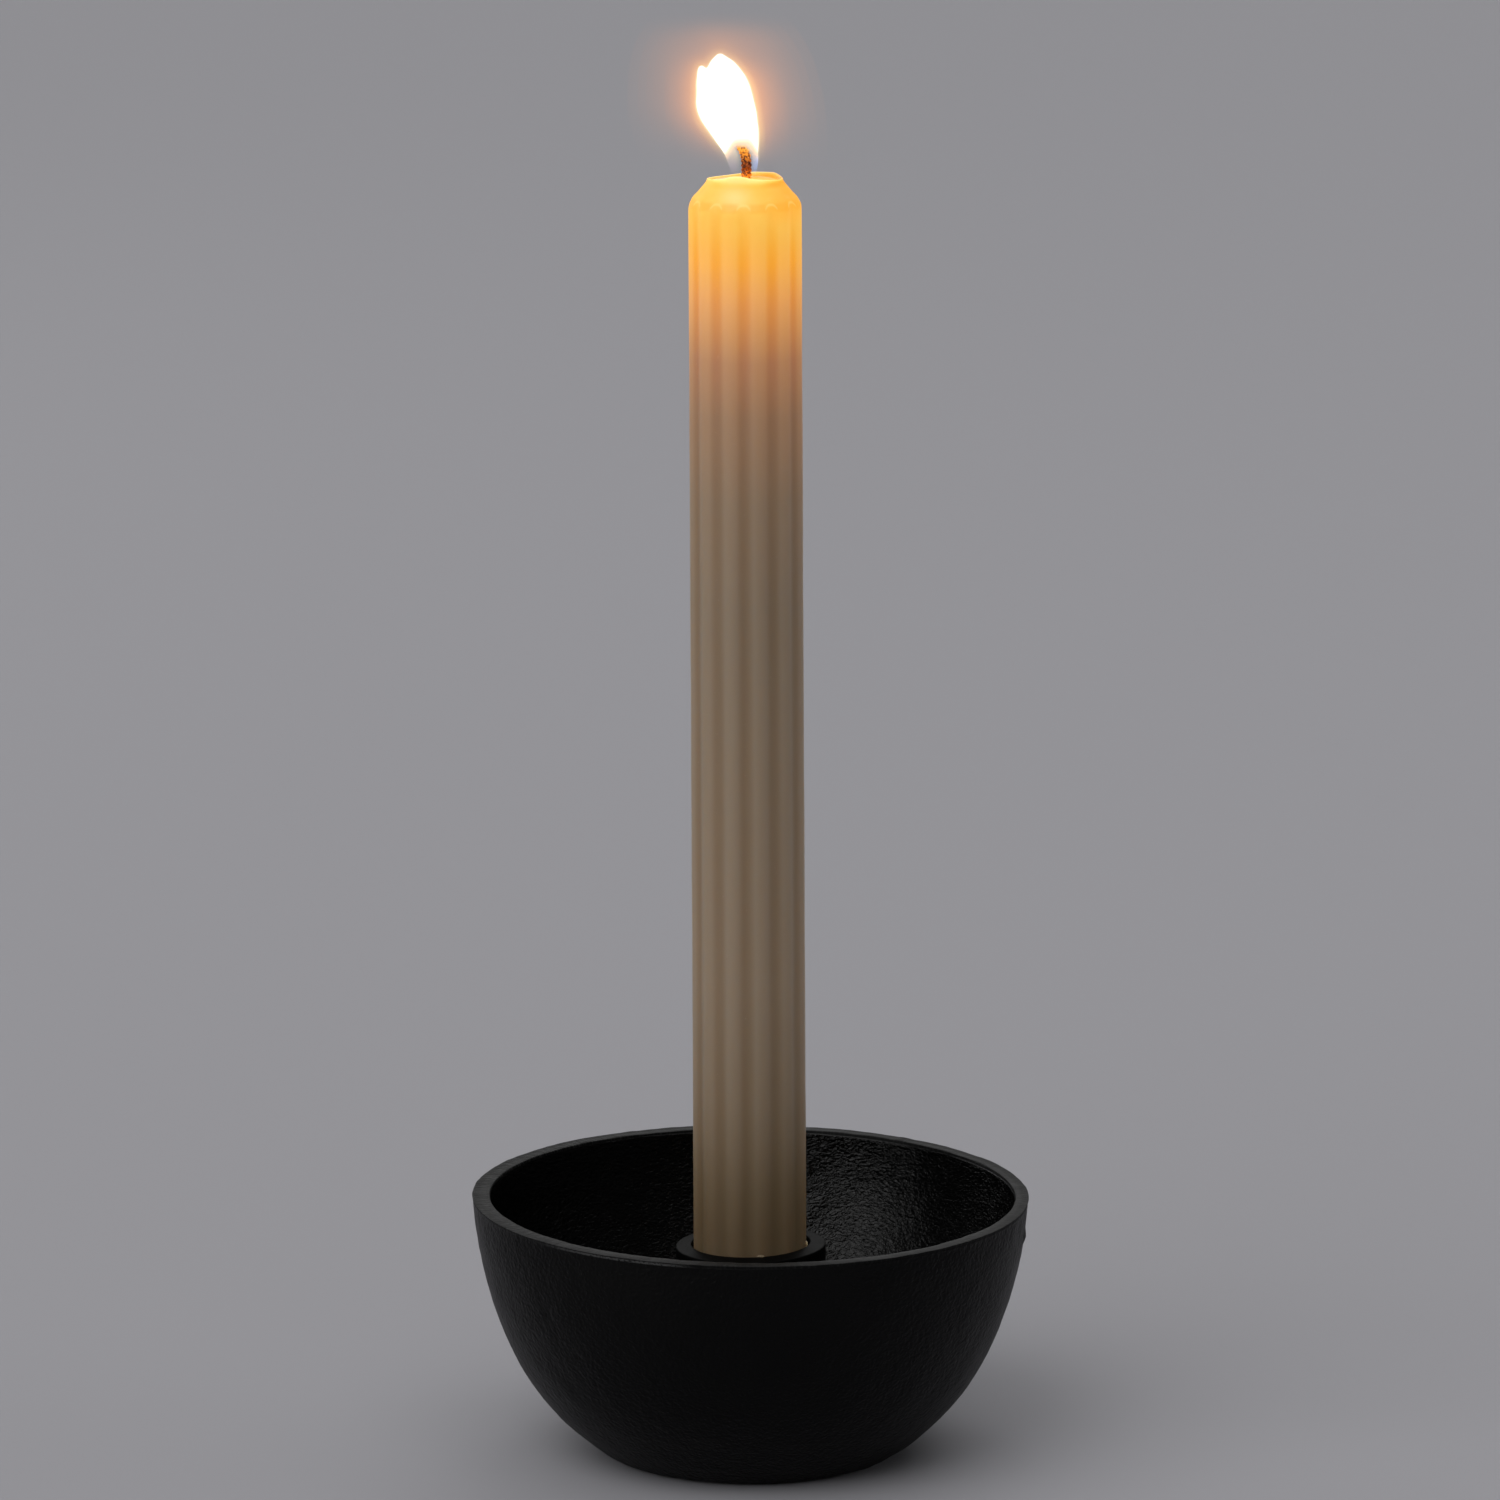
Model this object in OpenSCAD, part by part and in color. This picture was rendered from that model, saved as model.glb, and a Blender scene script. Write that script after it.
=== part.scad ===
// Cast candle bowl with a turned candle tube, holding a fluted candle that is alight.
// The bowl stands on a felt pad. The tube is pulled down on the bowl's floor by a screw from below.
// The candle leans a little in the tube's bore and lifts straight out of it.
// The origin is on the table, under the middle of the bowl, and +Z is up.

/* [Bowl] */
// Outer diameter of the bowl at its rim
rim_d = 106.4; // [92:0.2:130]
// Height of the casting from its foot to its rim
bowl_h = 48.8; // [40:0.2:60]
// Diameter of the flat foot
foot_d = 58.4; // [54:0.2:70]
// Wall thickness at the rim
wall_t = 3.1; // [2:0.1:4]
// Lean of the wall at the rim, from upright
rim_lean = 3.5; // [0:0.5:10]
// Lean of the wall where it meets the foot, from upright
foot_lean = 55; // [45:1:65]
// Diameter of the flat floor inside the bowl
floor_d = 52; // [40:0.5:54]
// Lean of the inner wall where it meets the floor, from upright
floor_lean = 68; // [62:1:85]
// Edge break along both edges of the rim
rim_break = 0.35; // [0.1:0.05:0.8]
// Metal left between the screw's recess and the floor
web_t = 2.5; // [2:0.1:4]

/* [Candle tube] */
// Outer diameter of the tube
socket_d = 28.7; // [26:0.1:34]
// Diameter of the bore that takes the candle
cup_d = 22.6; // [22.4:0.1:24]
// Depth of that bore
cup_depth = 25; // [16:0.5:30]
// Solid metal under the bore
socket_base_t = 7; // [6.5:0.1:10]
// Edge break along the tube's edges
socket_break = 0.3; // [0.1:0.05:0.6]

/* [Screw and washer] */
// Diameter of the screw
screw_d = 5; // [4:0.5:6]
// Length of the screw's thread inside the tube
thread_grip = 4.5; // [3.5:0.1:5]
// Thread hole left free past the screw's end
thread_spare = 1; // [0.5:0.1:1.2]
// Diameter of the button head
head_d = 9.5; // [8:0.1:10]
// Height of the button head
head_h = 2.75; // [2.2:0.05:3.2]
// Width of the hexagon in the head, across its flats
hex_w = 3; // [2:0.5:3.5]
// Depth of the hexagon
hex_depth = 1.6; // [1:0.1:1.8]
// Outer diameter of the washer
washer_d = 10; // [9.6:0.1:12]
// Thickness of the washer
washer_t = 1; // [0.6:0.1:1.6]

/* [Felt pad] */
// Diameter of the pad
pad_d = 50; // [40:0.5:52]
// Thickness of the pad
pad_t = 1.2; // [1:0.1:2]
// Depth of the seat that the pad is glued into
pad_seat_depth = 0.6; // [0.3:0.1:0.8]

/* [Candle] */
// Diameter across the crests at the base
candle_base_d = 22; // [20:0.1:22.2]
// Diameter across the crests that the taper would reach at the mouth
candle_mouth_d = 21.55; // [20:0.05:22]
// Length of the wax from the base to the melted mouth
candle_l = 230.4; // [90:0.2:300]
// Number of flutes round the candle
flutes = 12; // [8:1:16]
// Depth of a flute
flute_depth = 0.55; // [0.2:0.05:1]
// Turn of the first flute from the front
flute_turn = -1.5; // [-15:0.5:15]
// Height of the shoulder that has melted round
shoulder_h = 6.3; // [4:0.1:9]
// Diameter of the mouth at the top of the shoulder
mouth_d = 14.1; // [12:0.1:17]
// Diameter of the melted dish
dish_d = 13.2; // [8:0.1:13.6]
// Depth of the melted dish
dish_depth = 1.6; // [1:0.1:3]
// Drop from the mouth to the liquid wax
pool_drop = 0.45; // [0.2:0.05:0.8]
// Lean of the candle to the left
candle_lean = 0.27; // [0:0.01:0.4]

/* [Wick] */
// Diameter of the wick
wick_d = 1.8; // [1.2:0.1:2.4]
// Height of the upright wick above the mouth
wick_rise = 4.2; // [3:0.1:6]
// Radius that the charred tip bends on
wick_bend_r = 2.6; // [2:0.1:4]
// Angle that the tip bends by
wick_bend = 38; // [10:1:80]

/* [Flame] */
// Height of the flame above the mouth
flame_h = 23.4; // [16:0.2:32]
// Greatest width of the flame
flame_w = 10; // [7:0.2:14]

/* [Fits] */
// Free play of the screw in the bowl and the washer, all round
hole_gap = 0.25; // [0.1:0.05:0.5]
// Free play of the thread in the tube, all round
thread_gap = 0.1; // [0.05:0.05:0.2]
// Free space round the washer in its recess
recess_gap = 0.6; // [0.3:0.1:1]
// Free space under the screw's head
head_room = 0.15; // [0.1:0.05:0.5]
// Free space round the pad in its seat
pad_gap = 0.2; // [0.1:0.05:0.5]
// Gap under the candle
candle_gap = 0.1; // [0.05:0.05:0.3]
// Gap between the wick and the wax
wick_gap = 0.1; // [0.05:0.05:0.2]
// Gap between the liquid wax and the dish
pool_gap = 0.1; // [0.05:0.05:0.2]
// Gap between the wick and the flame
flame_gap = 0.5; // [0.3:0.05:0.8]

/* [Hidden] */
$fn = 96;
// Facets round the balls of the flame
flame_fn = 24;
// Steps along each arc of an outline
arc_steps = 14;
// Points along one flute
flute_points = 12;
// Narrowness of the flutes, where 1 makes flute and crest equally wide
flute_power = 1.25;
// Flatness of the dish's floor
dish_power = 4;
// Overrun of a cut past the face that it opens
over = 1;

// Heights of the stack, from the table up
foot_z = pad_t - pad_seat_depth;
recess_depth = washer_t + head_h + head_room;
floor_t = pad_seat_depth + recess_depth + web_t;
floor_z = foot_z + floor_t;
socket_h = socket_base_t + cup_depth;
candle_z = floor_z + socket_base_t + candle_gap;
washer_z = floor_z - web_t - washer_t;
screw_tip_z = floor_z + thread_grip;

// Balls that make up the flame: place to the side as a share of its width, height of the ball's
// middle as a share of the flame's height, and radius as a share of its width
flame_ball_shares = [
    [0.00, 0.105, 0.205],
    [-0.06, 0.20, 0.285],
    [-0.16, 0.33, 0.39],
    [-0.31, 0.50, 0.495],
    [-0.38, 0.66, 0.485],
    [-0.445, 0.79, 0.41],
    [-0.43, 0.985, 0.03]
];
// The small tongue at the flame's left side, in the same shares
flame_tongue_shares = [
    [-0.62, 0.75, 0.235],
    [-0.81, 0.915, 0.03]
];
// Control point of the shoulder's curve: share of the shoulder's height below the mouth
shoulder_bend_share = 0.72;

// Direction down a wall that leans inwards by this angle, and the direction square to it, inwards
function down(lean) = [-sin(lean), -cos(lean)];
function inward(lean) = [-cos(lean), sin(lean)];

// Points of an arc that starts at p with the wall's lean and ends at q
function arc_r(p, lean, q) = (q - p) * (q - p) / (2 * (q - p) * inward(lean));
function arc_sweep(p, lean, q) = 2 * asin(norm(q - p) / (2 * arc_r(p, lean, q)));
function arc_points(p, lean, q) =
    let (r = arc_r(p, lean, q), sweep = arc_sweep(p, lean, q), middle = p + r * inward(lean))
    [for (i = [0:arc_steps]) middle - r * inward(lean + sweep * i / arc_steps)];

// Point where two arcs meet smoothly between a wall's upper end p and its lower end q
function arc_meeting(p, lean_p, q, lean_q) =
    let (
        v = q - p,
        t = down(lean_p) + down(lean_q),
        k = 2 * (1 - down(lean_p) * down(lean_q)),
        d = (sqrt((v * t) * (v * t) + k * (v * v)) - v * t) / k
    )
    (p + q + d * (down(lean_p) - down(lean_q))) / 2;

// Points down a wall made of two smooth arcs
function wall_points(p, lean_p, q, lean_q) =
    let (m = arc_meeting(p, lean_p, q, lean_q), lean_m = lean_p + arc_sweep(p, lean_p, m))
    concat(arc_points(p, lean_p, m), [for (i = [1:arc_steps]) arc_points(m, lean_m, q)[i]]);

function reversed(points) = [for (i = [len(points) - 1:-1:0]) points[i]];

module bowl_section() {
    rim_r = rim_d / 2;
    outer = wall_points([rim_r, bowl_h - rim_break], rim_lean, [foot_d / 2, 0], foot_lean);
    inner = wall_points([rim_r - wall_t, bowl_h - rim_break], rim_lean, [floor_d / 2, floor_t], floor_lean);
    rim = [[rim_r - rim_break, bowl_h], [rim_r - wall_t + rim_break, bowl_h]];
    polygon(concat([[0, 0]], reversed(outer), rim, inner, [[0, floor_t]]));
}

module bowl() {
    color([0.05, 0.05, 0.055])
    translate([0, 0, foot_z])
    difference() {
        rotate_extrude() bowl_section();
        translate([0, 0, -over])
            cylinder(d = pad_d + 2 * pad_gap, h = pad_seat_depth + over);
        translate([0, 0, -over])
            cylinder(d = washer_d + 2 * recess_gap, h = pad_seat_depth + recess_depth + over);
        translate([0, 0, -over])
            cylinder(d = screw_d + 2 * hole_gap, h = floor_t + 2 * over);
    }
}

// A round bar with both ends broken
module broken_bar(d, h, edge) {
    rotate_extrude()
        polygon([
            [0, 0], [d / 2 - edge, 0], [d / 2, edge],
            [d / 2, h - edge], [d / 2 - edge, h], [0, h]
        ]);
}

module socket() {
    color([0.10, 0.10, 0.11])
    translate([0, 0, floor_z])
    difference() {
        broken_bar(socket_d, socket_h, socket_break);
        translate([0, 0, socket_base_t])
            cylinder(d = cup_d, h = cup_depth + over);
        translate([0, 0, socket_h - socket_break])
            cylinder(d1 = cup_d, d2 = cup_d + 4 * socket_break, h = 2 * socket_break);
        translate([0, 0, -over])
            cylinder(d = screw_d + 2 * thread_gap, h = thread_grip + thread_spare + over);
    }
}

module socket_screw() {
    color([0.62, 0.63, 0.65])
    difference() {
        union() {
            translate([0, 0, washer_z])
                cylinder(d = screw_d, h = screw_tip_z - washer_z);
            translate([0, 0, washer_z - head_h])
                button_head();
        }
        translate([0, 0, washer_z - head_h - over])
            cylinder(d = hex_w / cos(30), h = hex_depth + over, $fn = 6);
    }
}

// Low domed head, its flat side up
module button_head() {
    rise = head_h * 0.7;
    brim = head_h - rise;
    r = head_d / 2;
    rotate_extrude()
        polygon(concat(
            [[0, head_h], [r, head_h], [r, head_h - brim]],
            [for (i = [1:arc_steps]) [r * cos(90 * i / arc_steps * 0.75), rise * (1 - sin(90 * i / arc_steps))]],
            [[0, 0]]
        ));
}

module screw_washer() {
    color([0.70, 0.71, 0.73])
    translate([0, 0, washer_z])
    difference() {
        cylinder(d = washer_d, h = washer_t);
        translate([0, 0, -over])
            cylinder(d = screw_d + 2 * hole_gap, h = washer_t + 2 * over);
    }
}

module foot_pad() {
    color([0.08, 0.08, 0.08])
        cylinder(d = pad_d, h = pad_t);
}

// Places what belongs to the candle, whose own origin is at the middle of its base
module on_candle() {
    translate([0, 0, candle_z])
        rotate([0, -candle_lean, 0])
            children();
}

// Outline across the candle, with rounded flutes that start at the front
module fluted_outline(r) {
    count = flutes * flute_points;
    polygon([
        for (i = [0:count - 1])
            let (
                turn = 360 * i / count,
                groove = flute_depth * pow((1 + cos(flutes * turn)) / 2, flute_power),
                angle = turn + flute_turn - 90
            )
            (r - groove) * [cos(angle), sin(angle)]
    ]);
}

// What has melted away round the top of the candle
module melted_ring() {
    start = [candle_base_d / 2, candle_l - shoulder_h];
    bend = [candle_mouth_d / 2, candle_l - shoulder_h * shoulder_bend_share];
    end = [mouth_d / 2, candle_l];
    clear = start[0] + over;
    rotate_extrude()
        polygon(concat(
            [for (i = [0:arc_steps])
                let (s = i / arc_steps)
                (1 - s) * (1 - s) * start + 2 * s * (1 - s) * bend + s * s * end],
            [[mouth_d / 2, candle_l + over], [clear, candle_l + over], [clear, candle_l - shoulder_h]]
        ));
}

// Height of the dish's floor over the base of the candle, at a distance from the middle
function dish_z(r) = candle_l - dish_depth * (1 - pow(2 * r / dish_d, dish_power));

module dish() {
    rotate_extrude()
        polygon(concat(
            [for (i = [0:arc_steps]) let (r = dish_d / 2 * i / arc_steps) [r, dish_z(r)]],
            [[dish_d / 2, candle_l + over], [0, candle_l + over]]
        ));
}

module candle() {
    color([0.80, 0.66, 0.42])
    on_candle()
    difference() {
        linear_extrude(height = candle_l, scale = candle_mouth_d / candle_base_d)
            fluted_outline(candle_base_d / 2);
        melted_ring();
        dish();
        translate([0, 0, -over])
            cylinder(d = wick_d + 2 * wick_gap, h = candle_l + 2 * over);
    }
}

// Upright wick with its bent tip, as thick as asked for
module wick_form(d, foot) {
    bend_z = candle_l + wick_rise;
    translate([0, 0, foot])
        cylinder(d = d, h = bend_z - foot);
    translate([-wick_bend_r, 0, bend_z])
        rotate([90, 0, 0])
            rotate_extrude(angle = wick_bend)
                translate([wick_bend_r, 0])
                    circle(d = d);
}

module wick() {
    color([0.16, 0.11, 0.08])
    on_candle()
        wick_form(wick_d, 0);
}

module wax_pool() {
    level = candle_l - pool_drop;
    pool_r = dish_d / 2 * pow(1 - (pool_drop + pool_gap) / dish_depth, 1 / dish_power);
    color([0.93, 0.72, 0.38])
    on_candle()
    difference() {
        rotate_extrude()
            polygon(concat(
                [for (i = [0:arc_steps]) let (r = pool_r * i / arc_steps) [r, dish_z(r) + pool_gap]],
                [[0, level]]
            ));
        translate([0, 0, candle_l - dish_depth - over])
            cylinder(d = wick_d + 2 * wick_gap, h = dish_depth + 2 * over);
    }
}

module flame_ball(share) {
    translate([share[0] * flame_w, 0, share[1] * flame_h])
        sphere(r = share[2] * flame_w, $fn = flame_fn);
}

module flame_run(shares) {
    for (i = [0:len(shares) - 2])
        hull() {
            flame_ball(shares[i]);
            flame_ball(shares[i + 1]);
        }
}

module flame() {
    color([1.0, 0.78, 0.42, 0.6])
    on_candle()
    difference() {
        translate([0, 0, candle_l]) {
            flame_run(flame_ball_shares);
            flame_run(flame_tongue_shares);
        }
        wick_form(wick_d + 2 * flame_gap, candle_l - over);
        translate([0, 0, candle_l + wick_rise])
            wick_tip_space();
    }
}

// Round end of the space that the flame leaves about the wick's tip
module wick_tip_space() {
    translate([wick_bend_r * (cos(wick_bend) - 1), 0, wick_bend_r * sin(wick_bend)])
        sphere(d = wick_d + 2 * flame_gap);
}

bowl();
socket();
socket_screw();
screw_washer();
foot_pad();
candle();
wick();
wax_pool();
flame();
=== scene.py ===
import math

import bmesh
import bpy
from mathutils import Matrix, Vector


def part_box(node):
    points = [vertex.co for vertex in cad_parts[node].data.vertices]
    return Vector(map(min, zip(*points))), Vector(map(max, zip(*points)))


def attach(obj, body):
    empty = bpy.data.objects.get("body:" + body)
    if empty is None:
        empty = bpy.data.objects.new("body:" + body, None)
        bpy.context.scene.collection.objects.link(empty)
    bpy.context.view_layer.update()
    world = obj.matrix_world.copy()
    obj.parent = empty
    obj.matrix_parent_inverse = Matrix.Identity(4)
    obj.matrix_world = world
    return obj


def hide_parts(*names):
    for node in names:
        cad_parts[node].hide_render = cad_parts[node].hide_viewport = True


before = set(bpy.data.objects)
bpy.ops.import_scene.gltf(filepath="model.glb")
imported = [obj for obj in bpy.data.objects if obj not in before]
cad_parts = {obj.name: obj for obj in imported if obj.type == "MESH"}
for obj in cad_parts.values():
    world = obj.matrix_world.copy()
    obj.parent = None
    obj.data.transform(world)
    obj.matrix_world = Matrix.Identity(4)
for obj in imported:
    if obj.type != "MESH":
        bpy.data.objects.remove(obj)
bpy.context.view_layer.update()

# A black cast candle bowl with a turned tube in its middle and a lit, fluted candle in the tube.
# Sizes are in millimetres and heights are over the table, as in the part's own frame.

MM = 0.001


def turned_size(node):
    """Radius, lowest and highest height of a round part of the frame."""
    low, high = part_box(node)
    return (high.y - low.y) / 2 / MM, low.z / MM, high.z / MM


bowl_r, foot_z, rim_z = turned_size("bowl")
tube_r, floor_z, tube_top_z = turned_size("socket")
pad_r, pad_z, pad_top_z = turned_size("foot_pad")
washer_r, _, recess_z = turned_size("screw_washer")
_, candle_z, mouth_z = turned_size("candle")

# Bowl. A lean is how far a wall leans outwards from upright, in degrees.
RIM_LEAN = 3.5
FOOT_R = 28.7
FOOT_LEAN = 57
FLOOR_R = 26
FLOOR_LEAN = 68
# The rim from outside to inside, as points of (distance in from the bowl's edge, height over its rim)
RIM_EDGE = [(0.2, -0.72), (0.12, -0.4), (0.04, -0.14), (0.07, -0.04), (0.22, 0),
            (0.6, 0), (1.3, 0), (2.75, 0), (2.95, -0.06), (3.1, -0.3)]
# The rim stands higher than drawn, and slopes along X and Y
RIM_RISE = 0.3
RIM_TILT = (-0.0057, 0.0061)
SEAT_DEPTH = 0.6
SEAT_GAP = 0.2
RECESS_GAP = 0.6
SCREW_HOLE_R = 2.75
CORE_SHIFT = 0.35
BOWL_STEP = 0.8
BOWL_FACETS = 400
# Chips and swellings of the casting, as (place, pull, size of what moves)
FLAWS = [
    ((-10.4, -52.2, rim_z), (0, -0.35, 0.12), 1.6),
    ((-19.0, -48.5, rim_z - 0.4), (0, 0.25, -0.15), 1.2),
    ((51.3, -7.0, rim_z - 6.5), (0.45, 0, 0), 2.2),
    ((-37.0, -33.0, rim_z - 14), (0.2, 0.2, 0), 1.4),
    ((30.0, 42.0, rim_z), (0.1, 0.1, 0.2), 2.0),
]

# Felt disc
PAD_EDGE = 0.3
PAD_STEP = 0.7
PAD_FACETS = 220

# Candle tube
BORE_R = 11.3
BORE_FLOOR_Z = floor_z + 7
THREAD_R = 2.6
THREAD_TOP_Z = floor_z + 5.5
TUBE_ROUND = 0.3
TUBE_DOME = 0.35
TUBE_RISE = 0.2
TUBE_TILT = 0.026
TUBE_STEP = 1.2
TUBE_FACETS = 160
# Drops of wax on the tube, as (aside, back, half width, half depth, half height)
DROPS = [(10.5, -2.6, 0.42, 0.3, 0.7), (1.9, -11.2, 0.75, 0.3, 0.3)]

# Candle, with heights down from its mouth
CREST_R = 11
FLUTES = 12
FLUTE_DEPTH = 0.55
FLUTE_POWER = 1.25
FLUTE_TURN = math.radians(-1.5)
TAPER = 21.55 / 22
CANDLE_LEAN = math.radians(0.27)
CANDLE_FACETS = 240
CANDLE_RINGS = 56
WICK_HOLE_R = 1.0
SHOULDER = [(11.2, -7.6), (11.0, -6.2), (10.75, -5.3), (10.4, -4.7), (9.95, -4.05), (9.5, -3.5),
            (8.86, -2.76), (8.24, -2.0), (7.62, -1.26), (7.32, -0.75), (7.15, -0.35), (7.08, 0)]
DISH = [(7.08, 0), (6.75, -0.06), (6.42, -0.3), (6.05, -0.72), (5.5, -1.08), (4.5, -1.3), (2.8, -1.42),
        (1.0, -1.48)]
POOL_FACETS = 120
POOL_TOP = [(1.0, -0.62), (1.5, -0.74), (2.4, -0.8), (4.8, -0.8), (5.65, -0.72), (6.04, -0.6)]
POOL_UNDER = [(6.04, -0.66), (5.88, -0.9), (5.4, -1.1), (4.4, -1.27), (2.7, -1.39), (1.0, -1.43)]

# How far the candle's lip stands up or sags, at angles round it in degrees
LIP = [(-180, -0.2), (-149, 0.06), (-131, 0.34), (-121, 0.58), (-113, 0.88), (-105, 1.0), (-97, 0.98),
       (-90, 0.85), (-82, 0.62), (-75, 0.47), (-67, 0.35), (-49, 0.14), (-30, -0.04), (0, -0.22),
       (14, -0.2), (30, 0.1), (40, 0.28), (52, 0.22), (67, 0.13), (79, 0.07), (96, -0.2), (105, -0.3),
       (113, -0.38), (121, -0.42), (134, -0.42), (156, -0.36), (180, -0.2)]
# How far down its rise and sag fade out, on the shoulder and in the dish
LIP_REACH = 1.4
LIP_REACH_INSIDE = 1.1

# Wax piled over the head of each flute and sunk under it, as (height, how far under the mouth, spread)
FLUTE_HEADS = [(0.13, 3.5, 0.55), (-0.05, 4.7, 0.5)]
SHOULDER_BLEND = 0.35

# Wick, as points of (aside, height over the mouth) on its middle
WICK_R = 0.93
WICK_PATH = [(0.0, -6.0), (0.08, -3.0), (0.2, -1.0), (0.28, 0.6), (0.3, 2.2), (0.16, 3.8), (-0.2, 5.0),
             (-0.85, 6.2)]
WICK_TOP = 5.85
STRANDS_EACH_WAY = 4
STRAND_R = 0.31
BRAID_PITCH = 3.4
BRAID_SWELL = 0.13
STRAND_OVERLAP = 0.05
CORE_TAPER = 0.3

# Flame, as rings of (middle to the side, height over the mouth, half width)
FLAME_BODY = [(-0.2, 0.3, 2.2), (-0.25, 1.6, 2.55), (-0.35, 2.9, 2.85), (-0.75, 4.8, 3.25),
              (-1.35, 6.6, 3.9), (-2.0, 8.5, 4.55), (-2.75, 10.4, 5.1), (-3.2, 12.0, 5.4),
              (-3.55, 13.6, 5.4), (-3.75, 15.5, 5.15), (-3.9, 17.4, 4.75), (-3.95, 18.9, 4.1),
              (-3.95, 19.8, 3.5), (-3.95, 20.7, 2.8), (-4.15, 21.7, 2.05), (-4.4, 22.5, 1.1),
              (-4.5, 23.1, 0.3)]
FLAME_TONGUE = [(-6.9, 15.0, 1.95), (-7.25, 17.5, 1.65), (-7.65, 19.3, 1.1), (-7.85, 20.2, 0.8),
                (-7.95, 20.85, 0.3)]
# Its depth from front to back, as a share of its width
FLAME_DEPTH_SHARE = 0.85
FLAME_FACETS = 48
FLAME_VOXEL = 0.22

# Veils of light round the flame: name, colour, strength, how dense, distances of the shells from the
# flame, heights of the foot and of the first full light, and how much the left side and the top fade
VEILS = [
    ("flame_fringe", (1.0, 0.94, 0.66), 1.05, 0.20, (0.12, 0.32), 1.5, 9, 0, 0.45),
    ("flame_gold", (1.0, 0.85, 0.35), 3.0, 0.0125, (0.35, 0.65, 1.0, 1.35), 2.0, 9.5, 0.8, 0.55),
    ("flame_glow", (1.0, 0.40, 0.10), 3.0, 0.0106, (0.8, 1.25, 1.7, 2.15, 2.6), 2.0, 10.5, 0.3, 0.45),
    ("flame_haze", (1.0, 0.36, 0.10), 3.0, 0.0096, (3.1, 3.7, 4.4, 5.2, 6.0), 1.3, 15, 0.15, 0.62),
    ("flame_aura", (1.0, 0.36, 0.10), 3.0, 0.0050, (7.0, 8.1, 9.4, 11.0, 12.9), 0.5, 17, 0.2, 0),
]
# Shells further out than WIDE_SHELL are cut level at GLOW_TOP
GLOW_TOP = 30.3
WIDE_SHELL = 6

# Place of the eye, and the way it looks
EYE = (-0.13, -1575, 454.0)
LOOK_DOWN = math.radians(11.41)
LENS = 204

# Studio, in metres
FLOOR_SIZE = 16
LAMP_AIM = 0.08
SKY_DISTANCE = 3
SKY_SPREAD = math.radians(55)
MOST_VEILS_IN_LINE = 56


class Wire:
    """A value on its way through a material. Python's operators on it add Math nodes."""

    def __init__(self, finish, socket):
        self.finish = finish
        self.socket = socket

    def __add__(self, other):
        return self.finish.maths("ADD", self, other)

    def __radd__(self, other):
        return self.finish.maths("ADD", other, self)

    def __sub__(self, other):
        return self.finish.maths("SUBTRACT", self, other)

    def __rsub__(self, other):
        return self.finish.maths("SUBTRACT", other, self)

    def __mul__(self, other):
        return self.finish.maths("MULTIPLY", self, other)

    def __rmul__(self, other):
        return self.finish.maths("MULTIPLY", other, self)

    def __truediv__(self, other):
        return self.finish.maths("DIVIDE", self, other)

    def __pow__(self, other):
        return self.finish.maths("POWER", self, other)

    def __abs__(self):
        return self.finish.maths("ABSOLUTE", self)


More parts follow.
